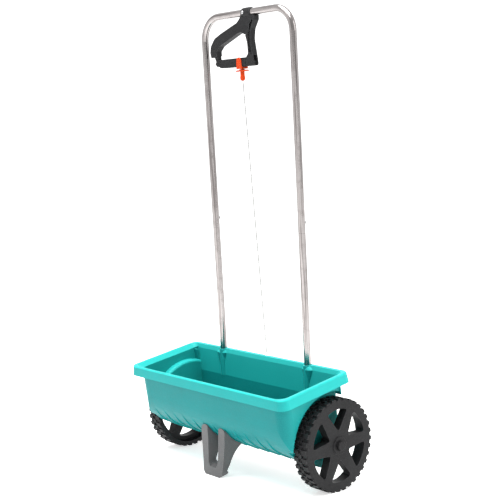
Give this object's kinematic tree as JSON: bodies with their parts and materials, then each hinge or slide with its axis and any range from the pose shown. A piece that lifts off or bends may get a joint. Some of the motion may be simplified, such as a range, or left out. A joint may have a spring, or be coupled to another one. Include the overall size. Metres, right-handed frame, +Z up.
{
  "type": "drop spreader",
  "caption": "Push-along garden drop spreader: a trough hopper on two spoked wheels with a tube handle, and a trigger whose cord opens a shutter under the hopper.",
  "frame": {"origin": "centre of the parked machine's box, at the height of the ground that the wheels and the foot stand on", "axes": "+Z up, +X along the axle towards the walking user's left, +Y backwards towards the user; the machine is parked, tipped 10.45 degrees forward onto its foot"},
  "size_m": [0.5532, 0.261, 1.0393],
  "materials": {
    "hopper_plastic": "moulded, satin",
    "foot_plastic": "moulded, matt",
    "wheel_plastic": "moulded, matt",
    "grip_plastic": "moulded, satin",
    "adjuster_plastic": "moulded, glossy",
    "mechanism_plastic": "moulded, matt",
    "bush_plastic": "moulded nylon",
    "chrome_tube": "chromed steel tube",
    "steel": "zinc plated",
    "cord": "thin braided cord"
  },
  "bodies": {
    "machine": {"hopper": "hopper_plastic", "foot": "foot_plastic", "foot_screws": "steel", "bush_left": "bush_plastic", "bush_right": "bush_plastic", "return_spring": "steel", "lower_tube_left": "chrome_tube", "lower_tube_right": "chrome_tube", "handle_bow": "chrome_tube", "socket_screws": "steel", "joint_screws": "steel", "grip_frame": "grip_plastic", "grip_arm": "grip_plastic", "grip_screw": "steel", "trigger_pin": "steel"},
    "drive": {"axle": "steel", "agitator": "mechanism_plastic", "paddles": "mechanism_plastic", "drive_pins": "steel", "wheel_left": "wheel_plastic", "hub_cap_left": "wheel_plastic", "hub_cap_right": "wheel_plastic", "wheel_washers": "steel"},
    "free_wheel": {"wheel_right": "wheel_plastic"},
    "trigger_bar": {"trigger": "grip_plastic", "adjuster_saddle": "adjuster_plastic"},
    "cord_nut": {"adjuster_nut": "adjuster_plastic"},
    "shutter_plate": {"shutter": "mechanism_plastic"},
    "cord_line": {"pull_cord": "cord", "cord_nipple": "steel"}
  },
  "joints": [
    {"name": "drive_spin", "type": "hinge", "parent": "machine", "child": "drive", "pos_m": [0, 0.02996, 0.1005], "axis": [1, 0, 0], "continuous": true},
    {"name": "free_wheel_spin", "type": "hinge", "parent": "drive", "child": "free_wheel", "pos_m": [-0.25, 0.02996, 0.1005], "axis": [1, 0, 0], "continuous": true},
    {"name": "trigger_squeeze", "type": "hinge", "parent": "machine", "child": "trigger_bar", "pos_m": [0.015, 0.01269, 0.91878], "axis": [0, 0.9974, 0.072], "range_deg": [0, 12], "stiffness_Nm_per_rad": 0.6, "springref_deg": -20.05},
    {"name": "nut_turn", "type": "hinge", "parent": "trigger_bar", "child": "cord_nut", "pos_m": [-0.022, 0.01399, 0.90083], "axis": [0, -0.072, 0.9974], "continuous": true},
    {"name": "shutter_turn", "type": "hinge", "parent": "machine", "child": "shutter_plate", "pos_m": [0, 0.02996, 0.1005], "axis": [1, 0, 0], "range_deg": [0, 10], "deforming": ["return_spring"]},
    {"name": "cord_follow", "type": "hinge", "parent": "shutter_plate", "child": "cord_line", "pos_m": [0.00922, 0.08024, 0.09706], "axis": [-0.9979, -0.0482, -0.0436], "range_deg": [0, 10]}
  ],
  "couplings": [
    {"joint": "shutter_turn", "follows": "trigger_squeeze", "ratio": 0.83229},
    {"joint": "cord_follow", "follows": "trigger_squeeze", "ratio": 0.8296}
  ]
}
